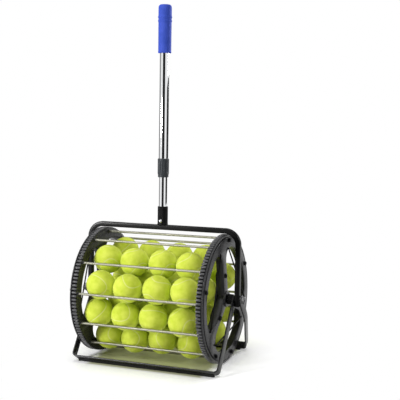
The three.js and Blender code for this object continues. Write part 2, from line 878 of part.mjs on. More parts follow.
// The moulded grip with a domed top and two raised rings below it.
function gripShape() {
  const length = grip_end - grip_start;
  const place = (share) => grip_start + share * length;
  const dome_height = grip_radius - grip_top_radius;
  const profile = [
    [upper_tube_radius + fit_gap, grip_start],
    [grip_radius - grip_edge / 2, grip_start],
    [grip_radius, grip_start + grip_edge / 2],
  ];
  for (const share of grip_ring_shares) {
    const start = place(share);
    profile.push(
      [grip_radius, start],
      [grip_ring_radius, start + grip_edge / 2],
      [grip_ring_radius, start + grip_edge * 2],
      [grip_radius, start + grip_edge * 2.5],
    );
  }
  const dome = arcPoints(
    new THREE.Vector2(grip_top_radius, grip_end - dome_height),
    dome_height,
    0,
    Math.PI / 2,
    3,
  );
  profile.push(...dome.map((p) => p.toArray()));
  profile.push([0, grip_end], [0, upper_tube_end + fit_gap]);
  profile.push([upper_tube_radius + fit_gap, upper_tube_end + fit_gap]);
  return turned(profile, round_sides);
}

// Yoke, axle fasteners and handle in their own frame: the handle runs up the Z axis from the bar.
function frameParts() {
  const frame = new THREE.Group();
  frame.add(piece("yoke", yokeSolid(), black_paint()));
  for (const [side, turn] of [["right", 0], ["left", Math.PI]]) {
    const end = new THREE.Group();
    end.rotation.z = turn;
    const cap = piece(side + "_leg_cap", capSolid(), black_plastic());
    cap.position.x = yoke_leg_place;
    end.add(
      cap,
      piece(side + "_axle_bolt", axleBoltSolid(), dull_steel()),
      piece(side + "_spacer", spacerSolid(), black_plastic()),
      piece(side + "_washer", washerShape(), chrome()),
      piece(side + "_axle_nut", nutSolid(), chrome()),
    );
    frame.add(end);
  }
  const handle = new THREE.Group();
  handle.position.z = yoke_bar_height;
  handle.add(
    piece("handle_socket", socketSolid(), black_plastic()),
    piece("socket_bolt", socketBoltShape(), chrome()),
    piece("socket_nut", socketNutSolid(), chrome()),
    piece("lower_tube", lowerTubeSolid(), chrome()),
    piece("lock_collar", collarSolid(), black_plastic()),
    piece("clamp_ring", clampSolid(), black_plastic()),
    piece("upper_tube", upperTubeShape(), chrome()),
    piece("grip", gripShape(), blue_rubber()),
  );
  frame.add(handle);
  frame.rotation.x = -radians(yoke_lean);
  return frame;
}

const collector = new THREE.Group();
collector.position.z = axle_height;
collector.add(
  frameParts(),
  drumParts(),
  standParts(
    "front",
    -front_stand_angle,
    standSolid(frontStandCorners(), front_strip_place),
    front_strip_place - foot_end_gap,
  ),
  standParts(
    "rear",
    rear_stand_angle,
    standSolid(rearStandCorners(), rear_strip_place),
    rear_foot_place - foot_end_gap,
  ),
);

const root = new THREE.Group();
root.add(collector);
export default root;
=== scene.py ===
"""Looks of the tennis ball roller collector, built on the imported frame. Metres, +Z up, -Y to the front."""

import json
import math

import bmesh
import bpy
import numpy as np
from mathutils import Euler, Matrix, Vector
from mathutils.geometry import tessellate_polygon


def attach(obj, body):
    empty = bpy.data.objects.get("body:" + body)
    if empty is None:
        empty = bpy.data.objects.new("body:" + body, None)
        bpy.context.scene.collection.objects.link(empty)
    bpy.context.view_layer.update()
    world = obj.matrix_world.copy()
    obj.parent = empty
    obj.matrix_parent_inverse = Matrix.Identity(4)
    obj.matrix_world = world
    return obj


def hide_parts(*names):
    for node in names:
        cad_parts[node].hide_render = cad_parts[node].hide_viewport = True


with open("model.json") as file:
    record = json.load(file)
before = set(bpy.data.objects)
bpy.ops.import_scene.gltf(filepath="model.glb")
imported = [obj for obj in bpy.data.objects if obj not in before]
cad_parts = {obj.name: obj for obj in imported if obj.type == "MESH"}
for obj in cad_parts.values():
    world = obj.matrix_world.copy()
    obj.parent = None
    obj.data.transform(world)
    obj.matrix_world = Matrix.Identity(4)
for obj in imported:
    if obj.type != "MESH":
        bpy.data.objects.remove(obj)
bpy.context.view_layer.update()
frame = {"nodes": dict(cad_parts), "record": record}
scene = bpy.context.scene
scene.view_settings.view_transform = "Standard"

# Sizes and places of the solids, in millimetres
MM = 0.001
AXLE_HEIGHT = 150
BAR_HEIGHT = 156  # from the axle to the yoke's bar, along the handle
LEG_X = 189  # from the drum's middle to the middle of a leg
LEG_END = -14  # the legs' open ends, from the axle
YOKE_TUBE = 12  # width of the square tube
WHEEL_BACK, WHEEL_FACE = 146, 163  # from the drum's middle
CROWN_R = 148  # over the tread's ribs
WIRE_RING, WIRE_R, WIRE_END = 138, 2.75, 155.6
STRIP_THICK, STRIP_WIDE = 3.5, 20
BOLT_R, EYE_BORE_R = 4.95, 5.15
DRUM_TURN = math.radians(5.8)
LEAN = math.radians(5.5)

AXLE = Vector((0, 0, AXLE_HEIGHT * MM))
DRUM_FRAME = Matrix.Translation(AXLE) @ Matrix.Rotation(DRUM_TURN, 4, "X")
YOKE_FRAME = Matrix.Translation(AXLE) @ Matrix.Rotation(-LEAN, 4, "X")
HANDLE_FRAME = YOKE_FRAME @ Matrix.Translation((0, 0, BAR_HEIGHT * MM))
ALONG_X = Matrix.Rotation(math.pi / 2, 4, "Y")
SIDES = (("right", Matrix.Identity(4)), ("left", Matrix.Rotation(math.pi, 4, "Z")))

# Camera, floor and light, with places in metres
CAMERA_LENS = 80.90
CAMERA_PLACE = (0.8686, -1.8602, 0.7140)
AZIMUTH, ELEVATION, ROLL = (math.radians(a) for a in (22.39, 9.52, -1.23))
WORLD_STRENGTH = 0.28
FLOOR_REACH, FLOOR_DROP = 12, 0.0002
# Painted shadow on the floor: under the drum, the camera and reflections see a dark olive colour in place of
# the lit floor. The patch's half sizes come first, in metres, and the ramps blend it into the open floor.
DRUM_SHADE = (0.17, 0.14)  # half length and half depth of the shadow under the drum
FLOOR_SHADE, FLOOR_WHITE = (0.78, 0.89), (0.95, 1.9)  # ramps, as shares of that shadow
FLOOR_PAINTED_SHADOW, FLOOR_OPEN = (0.6, 0.61, 0.38), (1.25, 1.25, 1.25)  # as seen under the drum and beside it
FLOOR_LIT = (0.88, 0.88, 0.88)  # as it lights the object


def make_camera():
    data = bpy.data.cameras.new("camera")
    data.sensor_width = 36
    data.lens = CAMERA_LENS
    data.clip_start, data.clip_end = 0.05, 50
    turn = (
        Matrix.Rotation(AZIMUTH, 4, "Z")
        @ Matrix.Rotation(math.pi / 2 - ELEVATION, 4, "X")
        @ Matrix.Rotation(ROLL, 4, "Z")
    )
    cam = bpy.data.objects.new("camera", data)
    cam.matrix_world = Matrix.Translation(CAMERA_PLACE) @ turn
    scene.collection.objects.link(cam)
    scene.camera = cam


def area_light(name, place, target, size, energy):
    data = bpy.data.lights.new(name, "AREA")
    data.shape, data.size, data.energy = "DISK", size, energy
    lamp = bpy.data.objects.new(name, data)
    lamp.location = place
    lamp.rotation_euler = (Vector(target) - Vector(place)).to_track_quat("-Z", "Y").to_euler()
    scene.collection.objects.link(lamp)


def math_node(nodes, links, operation, *values):
    """A Math node fed by sockets or numbers. Returns its output."""
    node = nodes.new("ShaderNodeMath")
    node.operation = operation
    for socket, value in zip(node.inputs, values):
        if isinstance(value, (int, float)):
            socket.default_value = value
        else:
            links.new(value, socket)
    return node.outputs[0]


def mixed(nodes, links, factor, first, second):
    """A mix of two colours, each a socket or a tuple."""
    node = nodes.new("ShaderNodeMix")
    node.data_type = "RGBA"
    links.new(factor, node.inputs["Factor"])
    for name, value in (("A", first), ("B", second)):
        if isinstance(value, tuple):
            node.inputs[name].default_value = (*value, 1)
        else:
            links.new(value, node.inputs[name])
    return node.outputs["Result"]


def object_axes(nodes, links):
    """The outputs for X, Y and Z of a surface point in its object's own frame."""
    split = nodes.new("ShaderNodeSeparateXYZ")
    links.new(nodes.new("ShaderNodeTexCoord").outputs["Object"], split.inputs[0])
    return list(split.outputs)


def make_world():
    """A dim white world that the camera, gloss and glass see as plain white."""
    world = bpy.data.worlds.new("studio")
    scene.world = world
    world.use_nodes = True
    nodes, links = world.node_tree.nodes, world.node_tree.links
    path = nodes.new("ShaderNodeLightPath").outputs
    seen = math_node(nodes, links, "MAXIMUM", path["Is Camera Ray"], path["Is Glossy Ray"])
    seen = math_node(nodes, links, "MAXIMUM", seen, path["Is Transmission Ray"])
    lit, white = nodes["Background"], nodes.new("ShaderNodeBackground")
    for background, strength in ((lit, WORLD_STRENGTH), (white, 1)):
        background.inputs["Color"].default_value = (1, 1, 1, 1)
        background.inputs["Strength"].default_value = strength
    mix = nodes.new("ShaderNodeMixShader")
    links.new(seen, mix.inputs[0])
    links.new(lit.outputs[0], mix.inputs[1])
    links.new(white.outputs[0], mix.inputs[2])
    links.new(mix.outputs[0], nodes["World Output"].inputs["Surface"])


def make_floor():
    """A white floor that keeps the object's real shadow near it and turns to plain white further off. Under
    the drum, the camera and reflections see a painted shadow: a dark olive colour in place of the lit floor.
    """
    mesh = bpy.data.meshes.new("floor")
    corners = [(FLOOR_REACH * x, FLOOR_REACH * y, 0) for x, y in ((-1, -1), (1, -1), (1, 1), (-1, 1))]
    mesh.from_pydata(corners, [], [(0, 1, 2, 3)])
    floor = bpy.data.objects.new("floor", mesh)
    floor.location.z = -FLOOR_DROP
    scene.collection.objects.link(floor)
    mat = bpy.data.materials.new("floor")
    mat.use_nodes = True
    nodes, links = mat.node_tree.nodes, mat.node_tree.links
    bsdf = nodes["Principled BSDF"]
    bsdf.inputs["Roughness"].default_value = 0.5
    bsdf.inputs["Specular IOR Level"].default_value = 0
    path = nodes.new("ShaderNodeLightPath").outputs
    seen = math_node(nodes, links, "MAXIMUM", path["Is Camera Ray"], path["Is Glossy Ray"])
    shares = []
    for axis, half in zip(object_axes(nodes, links), DRUM_SHADE):
        away = math_node(nodes, links, "ABSOLUTE", axis)
        shares.append(math_node(nodes, links, "DIVIDE", away, half))
    distance = math_node(nodes, links, "MAXIMUM", *shares)

    def ramp(start, end):
        node = nodes.new("ShaderNodeMapRange")
        node.interpolation_type = "SMOOTHSTEP"
        node.inputs["From Min"].default_value, node.inputs["From Max"].default_value = start, end
        links.new(distance, node.inputs["Value"])
        return node.outputs["Result"]

    # Painted shadow: the camera and reflections see the dark olive colour under the drum, ramped into the
    # open floor's colour beside it.
    painted_shadow_floor = mixed(nodes, links, ramp(*FLOOR_SHADE), FLOOR_PAINTED_SHADOW, FLOOR_OPEN)
    links.new(mixed(nodes, links, seen, FLOOR_LIT, painted_shadow_floor), bsdf.inputs["Base Color"])
    white, mix = nodes.new("ShaderNodeEmission"), nodes.new("ShaderNodeMixShader")
    links.new(math_node(nodes, links, "MULTIPLY", seen, ramp(*FLOOR_WHITE)), mix.inputs[0])
    links.new(bsdf.outputs[0], mix.inputs[1])
    links.new(white.outputs[0], mix.inputs[2])
    links.new(mix.outputs[0], nodes["Material Output"].inputs["Surface"])
    mesh.materials.append(mat)


def make_card(name, radius, start, end, low, high, grey):
    """A curved card beside the object that only reflections see. Angles in degrees, from -Y towards +X."""
    mesh = bpy.data.meshes.new(name)
    steps = 16
    verts = []
    for i in range(steps + 1):
        angle = math.radians(start + (end - start) * i / steps)
        x, y = radius * math.sin(angle), -radius * math.cos(angle)
        verts += [(x, y, low), (x, y, high)]
    mesh.from_pydata(verts, [], [(2 * i, 2 * i + 2, 2 * i + 3, 2 * i + 1) for i in range(steps)])
    card = bpy.data.objects.new(name, mesh)
    card.visible_camera = card.visible_diffuse = card.visible_shadow = False
    mat = bpy.data.materials.new(name)
    mat.use_nodes = True
    nodes = mat.node_tree.nodes
    shade = nodes.new("ShaderNodeEmission")
    shade.inputs["Color"].default_value = (grey, grey, grey, 1)
    mat.node_tree.links.new(shade.outputs[0], nodes["Material Output"].inputs["Surface"])
    mesh.materials.append(mat)
    scene.collection.objects.link(card)


make_camera()
make_world()
make_floor()
area_light("top", place=(0.2, 0.1, 2.6), target=(0, 0, 0), size=2.4, energy=30)
area_light("key", place=(-1.43, -1.95, 1.85), target=(0, 0, 0.15), size=0.7, energy=32)
area_light("low", place=(-1.55, -2.15, 0.66), target=(0, 0, 0.18), size=0.45, energy=30)
area_light("rear", place=(1.6, 2.3, 0.9), target=(0, 0, 0.2), size=1.1, energy=48)
make_card("card_camera", radius=1.6, start=-16, end=46, low=0, high=1.5, grey=0.02)
make_card("card_back", radius=0.7, start=97, end=205, low=0.2, high=0.66, grey=0.03)
make_card("card_left", radius=1.5, start=-150, end=-70, low=0, high=1.4, grey=0.35)


# Materials
BALL_R = 33.3 * MM
SEAM = 3.4  # bend of the seam's curve on the unit ball, z = SEAM * (x * x - y * y)


def new_material(name, colour, roughness, metallic=0.0, specular=0.5):
    mat = bpy.data.materials.new(name)
    mat.use_nodes = True
    bsdf = mat.node_tree.nodes["Principled BSDF"]
    bsdf.inputs["Base Color"].default_value = (*colour, 1)
    bsdf.inputs["Roughness"].default_value = roughness
    bsdf.inputs["Metallic"].default_value = metallic
    bsdf.inputs["Specular IOR Level"].default_value = specular
    return mat, bsdf


def noise_of(mat, scale, detail=2.0, stretch=(1, 1, 1)):
    """Noise in the object's own frame, its scale multiplied along each axis."""
    nodes, links = mat.node_tree.nodes, mat.node_tree.links
    coords, mapping = nodes.new("ShaderNodeTexCoord"), nodes.new("ShaderNodeMapping")
    mapping.inputs["Scale"].default_value = stretch
    links.new(coords.outputs["Object"], mapping.inputs["Vector"])
    noise = nodes.new("ShaderNodeTexNoise")
    noise.inputs["Scale"].default_value = scale
    noise.inputs["Detail"].default_value = detail
    links.new(mapping.outputs["Vector"], noise.inputs["Vector"])
    return noise.outputs["Fac"]


def two_colours(mat, fac, dark, light, low=0.35, high=0.65):
    """A ramp from dark to light between two values of fac."""
    nodes, links = mat.node_tree.nodes, mat.node_tree.links
    ramp = nodes.new("ShaderNodeValToRGB")
    ramp.color_ramp.elements[0].position, ramp.color_ramp.elements[1].position = low, high
    ramp.color_ramp.elements[0].color = (*dark, 1)
    ramp.color_ramp.elements[1].color = (*light, 1)
    links.new(fac, ramp.inputs["Fac"])
    return ramp.outputs["Color"]


def ranged(mat, fac, low, high, from_low=0.35, from_high=0.65):
    """The range of fac from from_low to from_high, mapped to low and high."""
    node = mat.node_tree.nodes.new("ShaderNodeMapRange")
    node.inputs["From Min"].default_value = from_low
    node.inputs["From Max"].default_value = from_high
    node.inputs["To Min"].default_value = low
    node.inputs["To Max"].default_value = high
    mat.node_tree.links.new(fac, node.inputs["Value"])
    return node.outputs["Result"]


def bump(mat, bsdf, height, strength, distance):
    node = mat.node_tree.nodes.new("ShaderNodeBump")
    node.inputs["Strength"].default_value = strength
    node.inputs["Distance"].default_value = distance
    mat.node_tree.links.new(height, node.inputs["Height"])
    mat.node_tree.links.new(node.outputs["Normal"], bsdf.inputs["Normal"])


def surface(name, dark, light, rough, metallic=0.0, specular=0.5, patch=30, grain=1800,
            grain_depth=0.00012, strength=0.35, stretch=(1, 1, 1), edge=None):
    """A material that drifts between two colours, with fine grain in its roughness and relief. Given edge,
    its convex edges turn lighter: partly wear, partly a painted highlight.
    """
    mat, bsdf = new_material(name, light, rough[1], metallic, specular)
    nodes, links = mat.node_tree.nodes, mat.node_tree.links
    colour = two_colours(mat, noise_of(mat, patch, 4, stretch), dark, light)
    # Lighter convex edges: partly wear, partly a painted highlight along them.
    if edge:
        worn = nodes.new("ShaderNodeNewGeometry").outputs["Pointiness"]
        colour = mixed(nodes, links, ranged(mat, worn, 0, 0.7, 0.51, 0.58), colour, edge)
    links.new(colour, bsdf.inputs["Base Color"])
    fine = noise_of(mat, grain, 2, stretch)
    links.new(ranged(mat, fine, *rough), bsdf.inputs["Roughness"])
    bump(mat, bsdf, fine, strength, grain_depth)
    return mat


def make_felt():
    """Optic yellow felt: short nap, slightly worn patches, and a pale seam along the ball's curve."""
    mat, bsdf = new_material("felt", (0.66, 0.76, 0.08), 0.9, specular=0.15)
    nodes, links = mat.node_tree.nodes, mat.node_tree.links

    def op(operation, *values):
        return math_node(nodes, links, operation, *values)

    cloud = noise_of(mat, 60, 5)
    colour = two_colours(mat, cloud, (0.54, 0.65, 0.045), (0.70, 0.78, 0.105), 0.3, 0.7)
    x, y, z = (op("DIVIDE", axis, BALL_R) for axis in object_axes(nodes, links))
    xx, yy = op("MULTIPLY", x, x), op("MULTIPLY", y, y)
    rise = op("SUBTRACT", z, op("MULTIPLY", op("SUBTRACT", xx, yy), SEAM))
    across = op("MULTIPLY", op("SQRT", op("ADD", xx, yy)), math.sqrt(4 * SEAM ** 2 + 1))
    away = op("DIVIDE", op("ABSOLUTE", rise), op("MAXIMUM", across, 0.1))
    frayed = op("ADD", away, op("MULTIPLY", op("SUBTRACT", noise_of(mat, 900, 2), 0.5), 0.02))
    seam = ranged(mat, frayed, 0.5, 0, 0.022, 0.045)
    links.new(mixed(nodes, links, seam, colour, (0.78, 0.80, 0.36)), bsdf.inputs["Base Color"])
    bsdf.inputs["Sheen Weight"].default_value = 0.25
    bsdf.inputs["Sheen Roughness"].default_value = 0.4
    bsdf.inputs["Sheen Tint"].default_value = (0.9, 1, 0.5, 1)
    nap = noise_of(mat, 1400, 3)
    links.new(ranged(mat, nap, 0.8, 1.0), bsdf.inputs["Roughness"])
    bump(mat, bsdf, nap, 0.7, 0.0006)
    return mat


# The wheel's edge colour is partly wear, partly a painted highlight on its convex edges.
WHEEL_PLASTIC = surface(
    "wheel_plastic", dark=(0.003, 0.003, 0.0034), light=(0.008, 0.008, 0.0088), rough=(0.2, 0.32),
    specular=0.19, edge=(0.16, 0.16, 0.165),
)
BLACK_PLASTIC = surface(
    "black_plastic", dark=(0.003, 0.003, 0.0034), light=(0.008, 0.008, 0.0088), rough=(0.3, 0.45),
    specular=0.1,
)
COLLAR_PLASTIC = surface(
    "collar_plastic", dark=(0.018, 0.022, 0.026), light=(0.03, 0.035, 0.041), rough=(0.4, 0.55),
    specular=0.35,
)
BLACK_PAINT = surface(
    "black_paint", dark=(0.004, 0.004, 0.004), light=(0.009, 0.009, 0.009), rough=(0.16, 0.26),
    specular=0.14, patch=12, grain=500, grain_depth=0.0003, strength=0.15,
)
STRIP_PAINT = surface(
    "strip_paint", dark=(0.004, 0.004, 0.0045), light=(0.010, 0.010, 0.011), rough=(0.22, 0.32),
    specular=0.28, patch=25, grain=700,
)
ROD_PAINT = surface(
    "rod_paint", dark=(0.003, 0.003, 0.003), light=(0.007, 0.007, 0.0075), rough=(0.5, 0.62),
    specular=0.06, patch=40,
)
WIRE_STEEL = surface(
    "wire_steel", dark=(0.2, 0.2, 0.16), light=(0.36, 0.35, 0.28), rough=(0.4, 0.58),
    metallic=0.8, patch=60, grain=2500, stretch=(0.06, 1, 1),
)
BOLT_STEEL = surface(
    "bolt_steel", dark=(0.36, 0.36, 0.37), light=(0.55, 0.55, 0.56), rough=(0.25, 0.4),
    metallic=1,
)
DULL_ZINC = surface(
    "dull_zinc", dark=(0.09, 0.09, 0.095), light=(0.2, 0.2, 0.205), rough=(0.34, 0.5),
    metallic=0.8, patch=90,
)
CHROME = surface(
    "chrome", dark=(0.78, 0.79, 0.80), light=(0.86, 0.87, 0.88), rough=(0.03, 0.08),
    metallic=1, patch=14, grain=1500, grain_depth=0.00002, strength=0.1, stretch=(1, 1, 0.05),
)
GRIP_RUBBER = surface(
    "grip_rubber", dark=(0.036, 0.074, 0.43), light=(0.054, 0.096, 0.52), rough=(0.5, 0.68),
    specular=0.09, patch=45, grain=2600, grain_depth=0.00025, strength=0.5,
)
FOOT_RUBBER = surface(
    "foot_rubber", dark=(0.004, 0.004, 0.004), light=(0.01, 0.01, 0.01), rough=(0.6, 0.8),
    specular=0.3, grain=1400, grain_depth=0.0003,
)
FELT = make_felt()

# What each of the frame's slots wears where its solid is shown as it is
SLOTS = {
    "wheel_plastic": WHEEL_PLASTIC,
    "black_plastic": BLACK_PLASTIC,
    "guard_paint": BLACK_PAINT,
    "wire_steel": WIRE_STEEL,
    "yoke_paint": BLACK_PAINT,
    "bright_fastener": CHROME,
    "handle_chrome": CHROME,
    "grip_rubber": GRIP_RUBBER,
    "stand_paint": STRIP_PAINT,
    "foot_rubber": FOOT_RUBBER,
}
for row in frame["record"]["subparts"]:
    node = frame["nodes"][row["node"]]
    node.data.materials.clear()
    node.data.materials.append(SLOTS[row["material_slot"]])


# Mesh making, in millimetres
def polar(radius, angle):
    return (radius * math.cos(angle), radius * math.sin(angle))


def arc(centre, radius, start, end, steps):
    """Points of an arc, with both its ends."""
    angles = [start + (end - start) * i / steps for i in range(steps + 1)]
    return [(centre[0] + radius * math.cos(a), centre[1] + radius * math.sin(a)) for a in angles]


def circle(radius, steps):
    """Points of a whole circle, each one once."""
    return arc((0, 0), radius, 0, 2 * math.pi * (steps - 1) / steps, steps - 1)


def rectangle(x, y):
    """A rectangle round the origin that reaches x and y from it."""
    return [(-x, -y), (x, -y), (x, y), (-x, y)]


def soften(points, radius, steps=3, closed=False):
    """The same outline with its corners rounded, each by at most the radius."""
    points = [np.array(p, float) for p in points]
    count, made = len(points), []
    for i, corner in enumerate(points):
        if not closed and i in (0, count - 1):
            made.append(corner)
            continue
        before, after = points[i - 1] - corner, points[(i + 1) % count] - corner
        spans = [np.linalg.norm(before), np.linalg.norm(after)]
        run = min([radius] + [s * 0.45 for s in spans])
        start, end = corner + before / spans[0] * run, corner + after / spans[1] * run
        for k in range(steps + 1):
            t = k / steps
            made.append((1 - t) ** 2 * start + 2 * t * (1 - t) * corner + t * t * end)
    return [tuple(p) for p in made]


def loft(rings, caps=True, close=False):
    """Faces between rings that have the same number of points."""
    count, last = len(rings[0]), len(rings) - 1
    pairs = [(a, a + 1) for a in range(last)] + ([(last, 0)] if close else [])
    faces = []
    for a, b in pairs:
        for i in range(count):
            j = (i + 1) % count
            faces.append((a * count + i, a * count + j, b * count + j, b * count + i))
    if caps and not close:
        faces.append(tuple(reversed(range(count))))
        faces.append(tuple(range(last * count, (last + 1) * count)))
    return [tuple(p) for ring in rings for p in ring], faces


def lathe(profile, steps=48, close=False, radius_at=None):
    """A profile of (radius, place) pairs turned round Z. A closed profile makes a ring."""
    rings = []
    for radius, place in profile:
        angles = [2 * math.pi * i / steps for i in range(steps)]
        radii = [radius_at(radius, place, a) if radius_at else radius for a in angles]
        rings.append([(*polar(r, a), place) for r, a in zip(radii, angles)])
    return loft(rings, caps=False, close=close)


def along_x(profile, steps, close=False):
    """A profile turned round X, its places along X."""
    return moved(lathe(profile, steps, close), ALONG_X)


def drill(radius, start, end, steps=32):
    """A rod along X that reaches past what it bores from start to end."""
    return along_x([(0, start - 10), (radius, start - 10), (radius, end + 10), (0, end + 10)], steps)


def ring_profile(inner, outer, start, end, edge, steps=3):
    """The closed profile of a ring with rounded edges."""
    corners = [(inner, start), (outer, start), (outer, end), (inner, end)]
    return soften(corners, edge, steps, closed=True)


def offset(loop, distance):
    """A closed outline moved outwards along its own normals."""
    points = np.array(loop, float)
    along = np.roll(points, -1, 0) - np.roll(points, 1, 0)
    along /= np.linalg.norm(along, axis=1)[:, None]
    return points + distance * np.stack([along[:, 1], -along[:, 0]], 1)


def slab(outer, holes, levels):
    """An outline in Y and Z with holes, thick along X. levels are (x, inset) pairs from back to front."""
    verts, faces, caps = [], [], ([], [])
    for sign, loop in [(-1, outer)] + [(1, hole) for hole in holes]:
        rings = [[(x, u, v) for u, v in offset(loop, sign * inset)] for x, inset in levels]
        base, count = len(verts), len(loop)
        ring_verts, ring_faces = loft(rings, caps=False)
        verts += ring_verts
        faces += [tuple(base + i for i in f) for f in ring_faces]
        for cap, level in zip(caps, (0, len(levels) - 1)):
            cap.append([base + level * count + i for i in range(count)])
    for cap in caps:
        flat = [i for ring in cap for i in ring]
        triangles = tessellate_polygon([[Vector(verts[i]) for i in ring] for ring in cap])
        faces += [tuple(flat[i] for i in t) for t in triangles]
    return verts, faces


def rounded(start, end, back, front=None, steps=3):
    """Levels of a slab whose back and front edges are rounded."""
    front = back if front is None else front
    turns = [math.pi / 2 * i / steps for i in range(steps + 1)]
    made = [(start + back * (1 - math.cos(a)), back * (1 - math.sin(a))) for a in turns]
    return made + [(end - front * (1 - math.cos(a)), front * (1 - math.sin(a))) for a in reversed(turns)]


def bent_line(corners, radius, steps=16):
    """Stations (x, z, heading) along straight runs joined by arcs of one radius, or of one each."""
    points = [np.array(c, float) for c in corners]
    radii = [radius] * (len(corners) - 2) if isinstance(radius, (int, float)) else radius

    def heading(a, b):
        return math.atan2(b[1] - a[1], b[0] - a[0])

    stations = [(*points[0], heading(points[0], points[1]))]
    for radius, before, corner, after in zip(radii, points, points[1:], points[2:]):
        into, out = heading(before, corner), heading(corner, after)
        turn = math.atan2(math.sin(out - into), math.cos(out - into))
        side = math.copysign(math.pi / 2, turn)
        start = corner - np.array(polar(radius * math.tan(abs(turn) / 2), into))
        centre = start + np.array(polar(radius, into + side))
        for k in range(steps + 1):
            now = into + turn * k / steps
            stations.append((*(centre - np.array(polar(radius, now + side))), now))
    return stations + [(*points[-1], heading(points[-2], points[-1]))]


def sweep(stations, section):
    """A closed section of (in the bend's plane, across it) points carried along the stations."""
    rings = []
    for x, z, heading in stations:
        rings.append([(x - u * math.sin(heading), -v, z + u * math.cos(heading)) for u, v in section])
    return loft(rings)


def box_section(thick, wide, radius, steps=4):
    """A rectangle with rounded corners, for a sweep."""
    a, b = thick / 2 - radius, wide / 2 - radius
    quarter = math.pi / 2
    corners = [(a, b), (-a, b), (-a, -b), (a, -b)]
    return [p for i, c in enumerate(corners) for p in arc(c, radius, i * quarter, (i + 1) * quarter, steps)]


def moved(part, *matrices):
    """A part whose points the matrices' product has moved."""
    verts, faces = part
    whole = Matrix.Identity(4)
    for matrix in matrices:
        whole = whole @ matrix
    return [tuple(whole @ Vector(v)) for v in verts], faces


def mesh_of(name, *parts):
    """One mesh in metres from parts in millimetres."""
    verts, faces = [], []
    for part_verts, part_faces in parts:
        base = len(verts)
        verts += [tuple(c * MM for c in v) for v in part_verts]
        faces += [tuple(base + i for i in f) for f in part_faces]
    mesh = bpy.data.meshes.new(name)
    mesh.from_pydata(verts, [], faces)
    made = bmesh.new()
    made.from_mesh(mesh)
    bmesh.ops.remove_doubles(made, verts=made.verts, dist=1e-7)
    bmesh.ops.dissolve_degenerate(made, dist=1e-7, edges=made.edges)
    bmesh.ops.recalc_face_normals(made, faces=made.faces)
    made.to_mesh(mesh)
    made.free()
    return mesh


def combined(mesh, other, operation="DIFFERENCE"):
    """The difference or intersection of two closed meshes."""
    base, tool = bpy.data.objects.new("base", mesh), bpy.data.objects.new("tool", other)
    for ob in (base, tool):
        scene.collection.objects.link(ob)
    cut = base.modifiers.new("cut", "BOOLEAN")
    cut.operation, cut.object, cut.solver = operation, tool, "MANIFOLD"
    bpy.context.view_layer.update()
    made = bpy.data.meshes.new_from_object(base.evaluated_get(bpy.context.evaluated_depsgraph_get()))
    for ob in (base, tool):
        bpy.data.objects.remove(ob)
    return made


def joined(name, *meshes):
    """A new mesh that holds all the given ones."""
    made = bmesh.new()
    for mesh in meshes:
        made.from_mesh(mesh)
    whole = bpy.data.meshes.new(name)
    made.to_mesh(whole)
    made.free()
    return whole


def piece(name, mesh, material, body, matrix, nodes=(), slot=None, sharp=35):
    """A visible piece that rides on a body and stands for nodes. sharp is in degrees."""
    mesh.materials.clear()
    mesh.materials.append(material)
    mesh.shade_smooth()
    mesh.set_sharp_from_angle(angle=math.radians(sharp))
    made = bpy.data.objects.new(name, mesh)
    made.matrix_world = matrix
    scene.collection.objects.link(made)
    bpy.context.view_layer.update()
    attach(made, body)
    if nodes:
        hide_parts(*nodes)


def part_move(x, y, z):
    """A move of a part, in millimetres."""
    return Matrix.Translation((x, y, z))


def piece_move(x, y, z):
    """A move of a piece, from millimetres to the frame's metres."""
    return Matrix.Translation([c * MM for c in (x, y, z)])


# Wheels, wires and guard rods, in the drum's frame
SPOKE_ANGLES = [math.pi / 2 + 2 * math.pi * i / 3 for i in range(3)]
WIRE_COUNT = 12
WIRE_ANGLES = [math.pi / 2 + 2 * math.pi * (i + 0.5) / WIRE_COUNT for i in range(WIRE_COUNT)]
RIM_SCREW_ANGLES = [math.radians(a) - DRUM_TURN for a in (24, 80.8, 159.3, 236, 280)]
RIM_SCREW_RING, HUB_SCREW_RING = 135.2, 56
DISC_R, WINDOW_R, HUB_BORE_R = 140.5, 122, 9
SPOKE_HALF, FLARE, CORNER = 11, 28, 9  # half a spoke's width, its round at the rim and at the hub
POCKET_DEPTH = 10
WIRE_BOW, BOW_TURN = 0.3, 2.4  # how far a wire bows, and the angle from one wire's bow to the next one's


def rib_loop(count=112, height=3.8, foot=0.315):
    """The ribbed tread: round-shouldered ribs with flat valleys. Shares and foot are of a rib's pitch."""
    shares = (-0.5, -0.31, -0.3, -0.27, -0.22, -0.12, 0, 0.12, 0.22, 0.27, 0.3, 0.31)
    loop = []
    for i in range(count):
        for share in shares:
            rise = height * math.sqrt(max(0, 1 - abs(share / foot) ** 5))
            loop.append(polar(CROWN_R - height + rise, 2 * math.pi * (i + share) / count))
    return loop


def window_loop(spoke_angle):
    """One window between two spokes, flared into the rim and rounded at the hub."""
    half = math.pi / 3
    side = SPOKE_HALF + FLARE
    along = math.sqrt((WINDOW_R - FLARE) ** 2 - side ** 2)
    turn = math.atan2(side, along)
    centre = polar((SPOKE_HALF + CORNER) / math.sin(half), half)
    first = arc(centre, CORNER, half - math.pi, -math.pi / 2, 8)
    first += arc((along, side), FLARE, -math.pi / 2, turn, 14)
    first += arc((0, 0), WINDOW_R, turn, half, 16)[1:]
    second = [polar(math.hypot(*p), 2 * half - math.atan2(p[1], p[0])) for p in reversed(first[1:-1])]
    cos, sin = math.cos(spoke_angle), math.sin(spoke_angle)
    return [(x * cos - y * sin, x * sin + y * cos) for x, y in first + second]


def pocket(angle):
    """The moulded hollow behind a spoke, with the round of its tool."""
    inner, outer, half, past = 70, 106, 8, 6
    section = soften([(inner, -half), (outer, -half), (outer, half), (inner, half)], 3, 4, closed=True)
    levels = [(WHEEL_BACK - past, 0), (WHEEL_BACK + POCKET_DEPTH, 0)]
    return moved(slab(section, [], levels), Matrix.Rotation(angle, 4, "X"))


